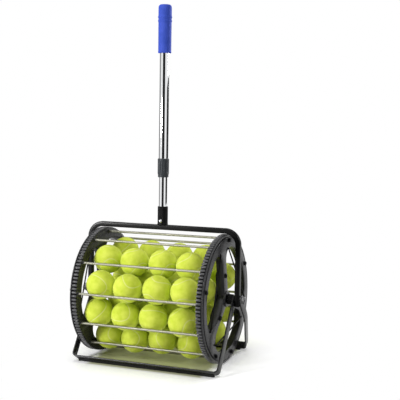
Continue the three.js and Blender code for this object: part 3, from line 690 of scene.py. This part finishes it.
def make_wheel():
    """The moulded wheel: a disc with windows and a bore, a ribbed tread, a flange, a boss and studs."""
    windows = [window_loop(a) for a in SPOKE_ANGLES]
    disc = mesh_of("disc", slab(circle(DISC_R, 240), windows, rounded(WHEEL_BACK, WHEEL_FACE, 0.7, 1.1)))
    pockets = [pocket(a) for a in SPOKE_ANGLES]
    disc = combined(disc, mesh_of("hollows", *pockets, drill(HUB_BORE_R, WHEEL_BACK, WHEEL_FACE, 48)))
    tread = slab(rib_loop(), [circle(DISC_R - 1, 120)], rounded(WHEEL_BACK, 157.6, 0.5, 0.4, 2))
    flange = [(143.4, 156), (145, 158.9), (CROWN_R, 158.9), (CROWN_R, 162), (143.6, 162)]
    flange = along_x(soften(flange, 1.1, 4, closed=True), 240, close=True)
    boss = [(HUB_BORE_R, 160), (18, 160), (18, 165.5), (13, 165.5), (12.2, 164.9), (9.4, 164.9)]
    boss = along_x(soften(boss, 0.8, 3, closed=True), 64, close=True)
    stud = soften([(0, 147), (5.4, 147), (4.4, 144.6), (3.2, 144.3), (0, 144.3)], 0.7)
    stud = along_x(stud, 20)
    studs = [moved(stud, part_move(0, *polar(WIRE_RING, a))) for a in WIRE_ANGLES]
    return joined("wheel", disc, mesh_of("rest", tread, flange, boss, *studs))


def cross_recess(radius, depth, top):
    """Two crossed bars that cut a screw's drive, along Z."""
    section = rectangle(radius, radius * 0.22)
    bar = moved(slab(section, [], [(top - depth, 0), (top + 5, 0)]), ALONG_X.inverted())
    return bar, moved(bar, Matrix.Rotation(math.pi / 2, 4, "Z"))


def make_hub_screw():
    """A screw with a cross drive. Its places along Z are those it has along the axle."""
    top = 167.3
    shank = [(0, 142.6), (2.4, 142.6), (2.4, 163.3)]
    head = [(5.5, 163.3), (5.5, 164.4), (4.6, 166.4), (2.4, top), (0, top)]
    screw = mesh_of("hub_screw", lathe(soften(shank + head, 0.9), 32))
    for bar in cross_recess(2.6, 1.6, top):
        screw = combined(screw, mesh_of("drive", bar))
    return screw


def make_rim_screws(name):
    profile = [(0, 157), (2.2, 157), (2.2, 163.1), (5.2, 163.1), (5.2, 165.8), (3.6, 168), (0, 168.5)]
    screw = along_x(soften(profile, 1.3), 24)
    seats = [part_move(0, *polar(RIM_SCREW_RING, a)) for a in RIM_SCREW_ANGLES]
    return mesh_of(name, *[moved(screw, seat) for seat in seats])


def make_guard_rod():
    """A rod across a window, with its ends turned into the wheel."""
    end_ring, distance, inner, outer = 117, 78, 156.4, 164.9
    half = math.sqrt(end_ring ** 2 - distance ** 2)
    line = bent_line([(inner, half), (outer, half), (outer, -half), (inner, -half)], 2.6, 10)
    return mesh_of("guard_rod", moved(sweep(line, circle(1.6, 14)), part_move(0, distance, 0)))


def make_wire(bow_angle, wave=320, steps=24):
    """A wire along X that bows a little towards an angle, over half a wave."""
    rings = []
    for k in range(steps + 1):
        x = -WIRE_END + 2 * WIRE_END * k / steps
        shift = polar(WIRE_BOW * math.cos(math.pi * x / wave), bow_angle)
        rings.append([(x, u + shift[0], v + shift[1]) for u, v in circle(WIRE_R, 16)])
    return mesh_of("wire", loft(rings))


def make_drum():
    wheel, screw, guard = make_wheel(), make_hub_screw(), make_guard_rod()
    for side, turn in SIDES:
        end = DRUM_FRAME @ turn
        node = side + "_wheel"
        piece(node + "_moulding", wheel, WHEEL_PLASTIC, "drum", end, [node], "wheel_plastic")
        screws = make_rim_screws(side + "_rim_screws")
        piece(side + "_rim_screws", screws, BLACK_PLASTIC, "drum", end, slot="black_plastic")
        for i, angle in enumerate(SPOKE_ANGLES):
            number = "_%d" % (i + 1)
            turned = Matrix.Rotation(angle, 4, "X") @ ALONG_X
            at = end @ piece_move(0, *polar(HUB_SCREW_RING, angle)) @ turned
            node = side + "_hub_screw" + number
            piece(side + "_spoke_screw" + number, screw, BLACK_PLASTIC, "drum", at, [node], "black_plastic")
            at = end @ Matrix.Rotation(angle + math.pi / 3, 4, "X")
            node = side + "_guard_rod" + number
            piece(side + "_window_rod" + number, guard, ROD_PAINT, "drum", at, [node], "guard_paint")
    for i, angle in enumerate(WIRE_ANGLES):
        number = "_%02d" % (i + 1)
        at = DRUM_FRAME @ piece_move(0, *polar(WIRE_RING, angle))
        wire = make_wire(BOW_TURN * i)
        piece("drum_wire" + number, wire, WIRE_STEEL, "drum", at, ["wire" + number], "wire_steel")


# Balls in the drum, with their places in millimetres from the middle of the axle. The places were worked
# out outside this script: the first 21 were fitted to the photograph, which shows them, and the rest were
# packed into the space behind and below them.
BALLS = (
    (-110.8, -50.6, 86.2), (-40.7, -54.1, 84.1), (28.6, -50.2, 83.6), (96.0, -49.3, 82.0),
    (-104.4, -103.6, 38.2), (-37.8, -101.3, 34.0), (33.3, -95.6, 34.8), (102.2, -96.7, 35.4),
    (-114.0, -99.5, -27.7), (-47.4, -96.8, -32.1), (21.7, -95.1, -31.0), (92.9, -93.6, -35.2),
    (-114.0, -52.4, -96.4), (-47.3, -51.6, -99.4), (19.2, -44.9, -97.8), (90.1, -37.9, -103.4),
    (-114.4, 43.3, 85.0), (-44.6, 45.0, 81.1), (27.2, 45.0, 79.2), (95.8, 45.0, 78.9),
    (114.0, 102.0, 24.3), (-79.3, -10.1, -57.9), (108.8, 40.9, -93.6), (114.4, 94.0, -53.3),
    (-27.9, 29.4, -41.5), (-80.9, -47.2, -2.3), (-37.2, 98.0, -45.4), (35.0, 4.8, 20.7),
    (40.0, 31.6, -40.4), (-16.9, -36.7, -41.8), (96.9, 46.2, -8.3), (108.5, -7.1, -47.0),
    (48.3, 15.4, -106.9), (-49.0, 106.5, 19.9), (47.3, 105.4, 21.3), (-62.9, 56.9, -91.8),
    (107.8, -14.7, 20.5), (-114.4, 94.1, 14.1), (5.6, 66.5, -85.9), (49.2, -34.2, -32.0),
    (48.2, 98.3, -45.1), (-1.2, 60.5, 11.3), (-23.1, -27.9, 25.1), (-113.5, 38.1, -26.6),
    (-114.4, 17.4, -107.8), (-19.6, 8.6, -107.9), (-95.6, 9.0, 30.8), (-103.8, 99.4, -51.7),
)


def seam_distance(p):
    """How far a point of the unit ball lies from its seam, with its sign."""
    x, y, z = p
    return (z - SEAM * (x * x - y * y)) / (math.sqrt(4 * SEAM ** 2 + 1) * max(math.hypot(x, y), 0.1))


def make_ball():
    """A felt ball: the mesh is snapped to the seam, which lies a little below the nap."""
    snap, step, depth, half = 0.03, 0.004, 0.016, 0.035
    made = bmesh.new()
    bmesh.ops.create_icosphere(made, subdivisions=5, radius=1)
    for vert in made.verts:
        p = vert.co.normalized()
        away = seam_distance(p)
        if abs(away) < snap:
            beside = [(p + step * axis).normalized() for axis in Matrix.Identity(3)]
            slope = Vector([(seam_distance(q) - away) / step for q in beside])
            p = (p - slope * away / max(slope.length_squared, 0.2)).normalized()
            away = 0
        vert.co = p * BALL_R * (1 - depth * math.exp(-(away / half) ** 2))
    mesh = bpy.data.meshes.new("ball")
    made.to_mesh(mesh)
    made.free()
    return mesh


def make_balls():
    mesh = make_ball()
    turns = np.random.default_rng(11).uniform(0, 2 * math.pi, (len(BALLS), 3))
    for i, (centre, turn) in enumerate(zip(BALLS, turns)):
        at = Matrix.Translation(AXLE + Vector(centre) * MM) @ Euler(turn).to_matrix().to_4x4()
        piece("ball_%02d" % (i + 1), mesh, FELT, "drum", at, sharp=180)


# Axle fasteners, yoke and stands. Pairs are a start and an end, from the drum's middle
BOLT_HEAD, BOLT_END, THREAD = (137.1, 142.1), 208.9, (199.4, 207.6)
SPACER, WASHER, NUT = (166.1, 178.9), (199.1, 200.6), (200.9, 207.4)
FRONT_EYE_X, REAR_EYE_X = 180.95, 197.05
FRONT_TILT, REAR_TILT = 38, 34
REAR_CROSSBAR_X, REAR_BEND_DROP = 176, 60  # half the rear crossbar, and where the sides lean in to it
STRIP_BEND_R, LEAN_BEND_R = 9, 200
FOOT_THICK, FOOT_GAP = 3, 0.3


def hexagon(radius, start, end):
    return slab([polar(radius, math.pi / 3 * i) for i in range(6)], [], [(start, 0), (end, 0)])


def hex_solid(name, radius, start, end, back, front):
    """A hexagon along X with its corners turned off at one or both faces."""
    flat, past = radius * math.cos(math.pi / 6), radius + 0.4
    first, last = flat if back else radius, flat if front else radius
    profile = [(0, start), (first, start), (past, start + back), (past, end - front), (last, end), (0, end)]
    blank = mesh_of(name, along_x(soften(profile, 0.3), 72))
    return combined(blank, mesh_of("hexagon", hexagon(radius, start - 1, end + 1)), "INTERSECT")


def thread(radius, start, end, pitch=0.8, depth=0.45):
    """Ridges that look like a screw's thread, as profile points."""
    count = int((end - start) / pitch)
    points = []
    for i in range(count):
        at = start + i * pitch
        points += [(radius, at), (radius, at + 0.2 * pitch), (radius - depth, at + 0.6 * pitch)]
    return points


def make_bolt():
    """An axle bolt along X, its head inside the drum and its thread past the nut."""
    plain = [(0, 140), (BOLT_R, 140), (BOLT_R, 199)]
    shank = along_x(plain + thread(BOLT_R, *THREAD) + [(4.2, BOLT_END), (0, BOLT_END)], 32)
    return joined("axle_bolt", mesh_of("shank", shank), hex_solid("bolt_head", 8.6, *BOLT_HEAD, 1.2, 0))


def make_nut():
    """A hexagon with a plain bore a little wider than the bolt."""
    return combined(hex_solid("axle_nut", 9.2, *NUT, 0.5, 1.3), mesh_of("bore", drill(5.1, *NUT)))


def make_spacer(radius=12, depth=0.45, flutes=16):
    """A fluted tube round the bolt, between the wheel and the stand."""
    angles = np.linspace(0, 2 * math.pi, 12 * flutes, endpoint=False)
    outline = [polar(radius - depth + depth * math.cos(flutes * a), a) for a in angles]
    return mesh_of("spacer", slab(outline, [circle(5.3, 32)], rounded(*SPACER, 0.8)))


def make_leg_plug():
    """A plug under a leg's open end, from levels of its distance below the end and its inset."""
    section = box_section(YOKE_TUBE, YOKE_TUBE, 2, 5)
    levels = ((0.3, 0.2), (0.6, 0), (1.3, 0), (1.75, 0.4), (1.9, 1.1))
    rings = [[(LEG_X + u, v, LEG_END - drop) for u, v in offset(section, -inset)] for drop, inset in levels]
    return mesh_of("plug", loft(rings))


def make_ends():
    washer = mesh_of("washer", along_x(ring_profile(5.3, 10.5, *WASHER, 0.35), 48, close=True))
    pieces = (
        ("bolt", "axle_bolt", make_bolt(), DULL_ZINC, "bright_fastener"),
        ("nut", "axle_nut", make_nut(), DULL_ZINC, "bright_fastener"),
        ("fluted_spacer", "spacer", make_spacer(), BLACK_PLASTIC, "black_plastic"),
        ("flat_washer", "washer", washer, DULL_ZINC, "bright_fastener"),
        ("leg_plug", "leg_cap", make_leg_plug(), BLACK_PLASTIC, "black_plastic"),
    )
    for side, turn in SIDES:
        for name, node, mesh, material, slot in pieces:
            piece(side + "_" + name, mesh, material, "frame", YOKE_FRAME @ turn, [side + "_" + node], slot)


def make_yoke():
    corners = [(-LEG_X, LEG_END), (-LEG_X, BAR_HEIGHT), (LEG_X, BAR_HEIGHT), (LEG_X, LEG_END)]
    tube = mesh_of("tube", sweep(bent_line(corners, 32, 24), box_section(YOKE_TUBE, YOKE_TUBE, 2.2, 5)))
    outside = LEG_X + YOKE_TUBE / 2
    bored = combined(tube, mesh_of("holes", drill(5.25, -outside, outside)))
    piece("bent_yoke", bored, BLACK_PAINT, "frame", YOKE_FRAME, ["yoke"], "yoke_paint")


def stand_reach(tilt):
    """How far below the axle a strip's crossbar lies, so that its foot meets the floor."""
    tilt = math.radians(tilt)
    return (AXLE_HEIGHT - FOOT_THICK - STRIP_WIDE / 2 * math.sin(tilt)) / math.cos(tilt) - STRIP_THICK / 2


def make_strip(name, corners, radii, eye_x):
    """A bent flat strip whose two ends are round eyes on the axle bolts."""
    strip = sweep(bent_line(corners, radii, 14), box_section(STRIP_THICK, STRIP_WIDE, 0.9, 4))
    half = STRIP_THICK / 2
    holes = drill(EYE_BORE_R, -eye_x - half, eye_x + half)
    strip = combined(mesh_of("strip", strip), mesh_of("holes", holes))
    eyes = []
    for x in (-eye_x, eye_x):
        profile = ring_profile(EYE_BORE_R, STRIP_WIDE / 2, x - half, x + half, 0.9, 4)
        eyes.append(along_x(profile, 48, close=True))
    return joined(name, strip, mesh_of("eyes", *eyes))


def foot_outline(tilt, top):
    """A foot across its strip: a wedge from top, under the strip, to the floor, with two grooves below."""
    turn = Matrix.Rotation(tilt, 2)
    back = turn.inverted()
    low = -math.copysign(1, tilt)  # the side that is the lower one once the foot is tilted
    edge, heel = (low * STRIP_WIDE / 2, top), (low * 5.2, top)
    first, last = (back @ Vector(((turn @ Vector(p)).x, -AXLE_HEIGHT)) for p in (heel, edge))
    outline = [edge, (low * 2, top), (low * 2, top - 0.7), (heel[0], top - 1), tuple(first)]
    for start in (0.25, 0.6):
        for share, rise in ((0, 0), (0.03, 0.6), (0.14, 0.6), (0.17, 0)):
            outline.append(tuple(first.lerp(last, start + share) + back @ Vector((0, rise))))
    outline.append(tuple(last))
    area = sum(a[0] * b[1] - b[0] * a[1] for a, b in zip(outline, outline[1:] + outline[:1]))
    return outline if area > 0 else outline[::-1]


def make_stand(name, corners, radii, eye_x, tilt, foot_half):
    """A strip and its foot, drawn upright and then tilted round the axle by degrees."""
    at = Matrix.Translation(AXLE) @ Matrix.Rotation(math.radians(tilt), 4, "X")
    strip = make_strip(name, corners, radii, eye_x)
    piece(name + "_strip", strip, STRIP_PAINT, name, at, [name], "stand_paint")
    top = -stand_reach(abs(tilt)) - STRIP_THICK / 2 - FOOT_GAP
    outline = soften(foot_outline(math.radians(tilt), top), 0.5, 3, closed=True)
    foot = mesh_of("foot", slab(outline, [], rounded(-foot_half, foot_half, 0.5)))
    pad, node = (name.replace("stand", word) for word in ("pad", "foot"))
    piece(pad, foot, FOOT_RUBBER, name, at, [node], "foot_rubber")


def make_stands():
    """The front stand has straight sides, and the rear one's sides lean in to its crossbar."""
    x, reach, bend = FRONT_EYE_X, stand_reach(FRONT_TILT), STRIP_BEND_R
    corners = [(-x, 0), (-x, -reach), (x, -reach), (x, 0)]
    make_stand("front_stand", corners, (bend, bend), x, -FRONT_TILT, foot_half=x - 10)
    x, half, drop, reach = REAR_EYE_X, REAR_CROSSBAR_X, REAR_BEND_DROP, stand_reach(REAR_TILT)
    corners = [(-x, 0), (-x, -drop), (-half, -reach), (half, -reach), (x, -drop), (x, 0)]
    radii = (LEAN_BEND_R, bend, bend, LEAN_BEND_R)
    make_stand("rear_stand", corners, radii, x, REAR_TILT, foot_half=half - 14)


# Handle, in the frame of the yoke's bar
SOCKET_R, COLLAR_R, FLUTES_FROM = 12, 13.2, 11.5
INNER_TUBE, OUTER_TUBE = (8.3, 9.5, 9, 396), (10.1, 11, 132, 499)  # inside, outside, start and end
SOCKET_BOLT_HEIGHT = 15


def fluted(count, depth, low, high, sharpness=1.0, run_out=1.5):
    """A change of a lathe's radius that presses flutes into its outside between two places."""
    def radius_at(radius, at, angle):
        if radius < FLUTES_FROM or not low < at < high:
            return radius
        ease = min(1, (at - low) / run_out, (high - at) / run_out)
        return radius - depth * ease * (0.5 - 0.5 * math.cos(count * angle)) ** sharpness
    return radius_at


def make_socket():
    """The ribbed socket on the yoke's stub, bored for its bolt."""
    ribs = [(SOCKET_R, z) for z in (11, 14, 22, 30, 38, 44, 46, 47.8)]
    profile = [(9.8, 6.3), (12.6, 6.3), (12.6, 7.6), (12.05, 8.8), *ribs, (11, 49), (9.8, 49)]
    profile = soften(profile, 0.7, 3, closed=True)
    shell = mesh_of("socket", lathe(profile, 216, True, fluted(36, 0.35, 10, 47.3)))
    across = Matrix.Rotation(math.pi / 2, 4, "X") @ ALONG_X.inverted()
    bore = moved(drill(2.8, -SOCKET_R, SOCKET_R, 24), part_move(0, 0, SOCKET_BOLT_HEIGHT), across)
    shell = combined(shell, mesh_of("bore", bore))
    piece("ribbed_socket", shell, BLACK_PLASTIC, "frame", HANDLE_FRAME, ["handle_socket"], "black_plastic")


def make_socket_bolt():
    """The slotted bolt through the socket, with its nut at the back."""
    end = 14.7
    at = HANDLE_FRAME @ piece_move(0, 0, SOCKET_BOLT_HEIGHT)
    profile = [(0, -end), (2.5, -end), (2.5, 12.3), (4, 12.3), (4, 13.1), (2.6, 14.4), (0, end)]
    bolt = mesh_of("bolt", lathe(soften(profile, 0.6), 32))
    slot = slab(rectangle(5, 0.45), [], [(14, 0), (16, 0)])
    bolt = combined(bolt, mesh_of("slot", moved(slot, ALONG_X.inverted())))
    to_front = at @ Matrix.Rotation(math.pi / 2, 4, "X")
    piece("slotted_bolt", bolt, BOLT_STEEL, "frame", to_front, ["socket_bolt"], "bright_fastener")
    nut = hex_solid("small_nut", 4.6, 12.3, end, 0.2, 0.5)
    to_back = at @ Matrix.Rotation(math.pi / 2, 4, "Z")
    piece("small_nut", nut, BOLT_STEEL, "frame", to_back, ["socket_nut"], "bright_fastener")


def make_tube(name, size, edge, steps, body, node):
    """One chrome tube of the handle."""
    mesh = mesh_of(name, lathe(ring_profile(*size, edge), steps, close=True))
    piece(name, mesh, CHROME, body, HANDLE_FRAME, [node], "handle_chrome")


def make_collar():
    """The lock collar: a smooth skirt round the lower tube and a fluted body round the upper one's end."""
    skirt = [(9.8, 117), (11.9, 117), (12.3, 117.8), (12.3, 122.5), (12.7, 124.2)]
    body = [(COLLAR_R, z) for z in (126, 128, 136, 146, 154, 157.5, 159.3)]
    inside = [(12.2, 160.5), (11.3, 160.5), (11.3, 120.7), (9.8, 120.7)]
    profile = soften(skirt + body + inside, 1.0, 3, closed=True)
    mesh = mesh_of("collar", lathe(profile, 224, True, fluted(14, 0.9, 127, 156, 1.6)))
    piece("fluted_collar", mesh, COLLAR_PLASTIC, "collar", HANDLE_FRAME, ["lock_collar"], "black_plastic")


def make_grip():
    """The rubber grip: a sleeve with a lip at its foot, two beads below its top and a rounded closed end."""
    inside = [(0, 499.3), (11.3, 499.3)]
    sleeve = [(11.3, 403.5), (14.9, 403.5), (15.4, 404.4), (15.35, 406.5), (15.1, 408), (15.2, 440)]
    lower_bead = [(15.3, 474.2), (16.2, 475.4), (16.2, 477.8), (15.3, 479)]
    upper_bead = [(15.35, 482.8), (16.3, 484), (16.3, 486.6), (15.4, 487.8)]
    top = [(15.5, 502), (15.3, 508), (14.2, 511.6), (11.6, 513.5), (7, 514), (0, 514)]
    outside = soften(sleeve + lower_bead + upper_bead + top, 1.3, 4)
    mesh = mesh_of("grip", lathe(inside + outside, 96))
    piece("soft_grip", mesh, GRIP_RUBBER, "upper_handle", HANDLE_FRAME, ["grip"], "grip_rubber")


def soften_kept_nodes():
    """Rounded edges for the solids that are shown as they are."""
    for name in ("left_hub_spider", "right_hub_spider", "clamp_ring"):
        node = frame["nodes"][name]
        bevel = node.modifiers.new("edges", "BEVEL")
        bevel.width, bevel.segments, bevel.limit_method = 0.4 * MM, 2, "ANGLE"


make_drum()
make_balls()
make_ends()
make_yoke()
make_stands()
make_socket()
make_socket_bolt()
make_tube("inner_tube", INNER_TUBE, 0.4, 64, "frame", "lower_tube")
make_collar()
make_tube("outer_tube", OUTER_TUBE, 0.3, 72, "upper_handle", "upper_tube")
make_grip()
soften_kept_nodes()
